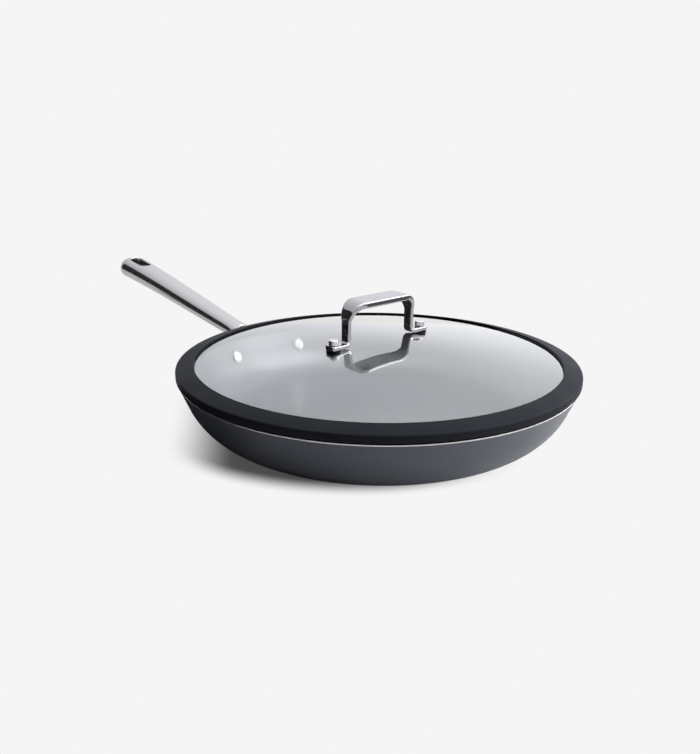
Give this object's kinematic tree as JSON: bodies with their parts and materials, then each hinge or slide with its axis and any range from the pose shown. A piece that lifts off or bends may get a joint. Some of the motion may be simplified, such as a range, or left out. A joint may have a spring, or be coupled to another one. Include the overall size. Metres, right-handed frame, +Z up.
{
  "type": "frying pan with lid",
  "caption": "Shallow flared frying pan with a long riveted steel handle and a domed glass lid held in a dark silicone band, with a steel strap handle.",
  "frame": {"origin": "centre of the flat base, on the surface that the pan stands on", "axes": "+X along the pan's handle, +Z up, +Y completes the right-handed frame"},
  "size_m": [0.5236, 0.3018, 0.1027],
  "materials": {
    "anodised_aluminium": "dark satin anodised outside, pale speckled non-stick coat inside, bare turned rim",
    "base_steel": "fine brushed",
    "satin_steel": "satin cast steel",
    "rivet_steel": "smooth",
    "clear_glass": "clear",
    "silicone": "matte",
    "gasket_silicone": "matte",
    "polished_steel": "polished"
  },
  "bodies": {
    "pan": {"pan_body": "anodised_aluminium", "induction_base_plate": "base_steel", "pan_handle": "satin_steel", "handle_rivet_left": "rivet_steel", "handle_rivet_right": "rivet_steel"},
    "lid": {"lid_glass": "clear_glass", "lid_rim_band": "silicone", "lid_handle": "polished_steel", "barrel_nut_near": "polished_steel", "lid_screw_near": "base_steel", "upper_gasket_near": "gasket_silicone", "lower_gasket_near": "gasket_silicone", "washer_near": "base_steel", "barrel_nut_far": "polished_steel", "lid_screw_far": "base_steel", "upper_gasket_far": "gasket_silicone", "lower_gasket_far": "gasket_silicone", "washer_far": "base_steel"}
  },
  "joints": [
    {"name": "lid_lift", "type": "slide", "parent": "pan", "child": "lid", "axis": [0, 0, 1], "range_m": [0, 0.15]}
  ]
}
